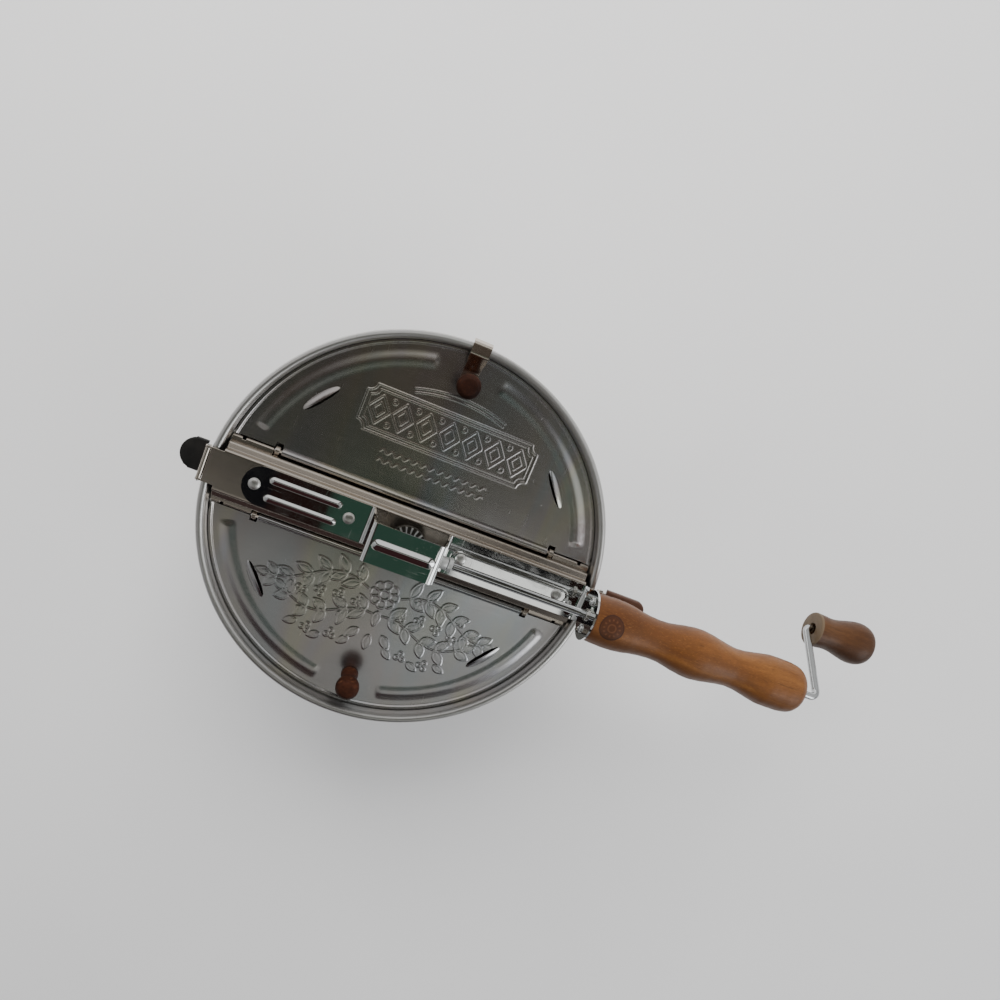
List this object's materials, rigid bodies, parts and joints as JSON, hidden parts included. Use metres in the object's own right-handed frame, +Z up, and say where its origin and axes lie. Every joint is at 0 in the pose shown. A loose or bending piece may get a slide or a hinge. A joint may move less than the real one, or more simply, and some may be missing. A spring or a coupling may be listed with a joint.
{
  "type": "stovetop popcorn popper",
  "caption": "Stovetop pan with a crossbar, two hinged half lids and a wood handle; a crank through the handle turns a wire stirrer on the pan floor through gears.",
  "frame": {"origin": "centre of the pan's underside", "axes": "+Z up along the stirrer shaft, +X along the handle and the crank rod, Y across to the two half lids"},
  "size_m": [0.4806, 0.2566, 0.1825],
  "materials": {
    "pan_aluminium": "satin",
    "lid_aluminium": "satin",
    "tinned_steel": "satin, slightly warm",
    "polished_steel": "polished",
    "rivet_steel": "satin",
    "wire_steel": "bright drawn wire",
    "zinc": "die cast, grey",
    "honey_wood": "lacquered honey tan",
    "dark_wood": "stained dark red-brown",
    "black_vinyl": "matte dipped vinyl",
    "brown_plastic": "dark brown"
  },
  "bodies": {
    "frame": {"pan_body": "pan_aluminium", "crossbar": "tinned_steel", "drive_strap": "polished_steel", "rivet_1": "rivet_steel", "rivet_2": "rivet_steel", "rivet_3": "rivet_steel", "rivet_4": "rivet_steel", "shaft_bush": "zinc", "rod_bush": "zinc", "hinge_wire_a": "wire_steel", "hinge_wire_b": "wire_steel", "handle": "honey_wood", "handle_tube": "wire_steel", "handle_screw_a": "polished_steel", "handle_screw_b": "polished_steel", "latch_pin": "wire_steel", "lever_pin": "wire_steel"},
    "crank": {"crank_rod": "polished_steel", "pinion": "zinc", "pinion_pin": "wire_steel", "rod_collar": "zinc", "knob_retainer": "wire_steel"},
    "crank_grip": {"crank_knob": "honey_wood"},
    "stirrer": {"stir_shaft": "wire_steel", "crown_gear": "zinc", "gear_pin": "wire_steel", "shaft_washer": "wire_steel", "shaft_clip": "wire_steel", "wire_hub": "zinc", "hub_screw": "wire_steel", "stir_wire": "wire_steel"},
    "half_lid_a": {"lid_a": "lid_aluminium", "lid_knob_a": "dark_wood", "knob_screw_a": "wire_steel", "lid_clip": "tinned_steel"},
    "half_lid_b": {"lid_b": "lid_aluminium", "lid_knob_b": "dark_wood", "knob_screw_b": "wire_steel"},
    "tab_latch": {"latch_plate": "tinned_steel", "latch_tab": "black_vinyl"},
    "release_lever": {"lever_plate": "tinned_steel", "lever_grip": "brown_plastic"}
  },
  "joints": [
    {"name": "crank_spin", "type": "hinge", "parent": "frame", "child": "crank", "pos_m": [0.2, 0, 0.166], "axis": [1, 0, 0], "continuous": true},
    {"name": "stir_spin", "type": "hinge", "parent": "frame", "child": "stirrer", "pos_m": [0, 0, 0.12], "axis": [0, 0, 1], "continuous": true},
    {"name": "crank_grip_spin", "type": "hinge", "parent": "crank", "child": "crank_grip", "pos_m": [0.2845, 0.03453, 0.12437], "axis": [0.9994, 0.0223, -0.0269], "continuous": true},
    {"name": "half_lid_a_hinge", "type": "hinge", "parent": "frame", "child": "half_lid_a", "pos_m": [0, 0.0216, 0.1346], "axis": [1, 0, 0], "range_deg": [0, 85]},
    {"name": "half_lid_b_hinge", "type": "hinge", "parent": "frame", "child": "half_lid_b", "pos_m": [0, -0.0216, 0.1346], "axis": [-1, 0, 0], "range_deg": [0, 85]},
    {"name": "tab_latch_hinge", "type": "hinge", "parent": "frame", "child": "tab_latch", "pos_m": [-0.1281, 0, 0.1426], "axis": [0, 1, 0], "range_deg": [0, 15], "stiffness_Nm_per_rad": 0.06, "springref_deg": -14.32},
    {"name": "release_lever_hinge", "type": "hinge", "parent": "frame", "child": "release_lever", "pos_m": [0.131, 0, 0.1408], "axis": [0, -1, 0], "range_deg": [0, 12], "stiffness_Nm_per_rad": 0.08, "springref_deg": -14.32}
  ],
  "couplings": [
    {"joint": "stir_spin", "follows": "crank_spin", "ratio": 0.6}
  ]
}
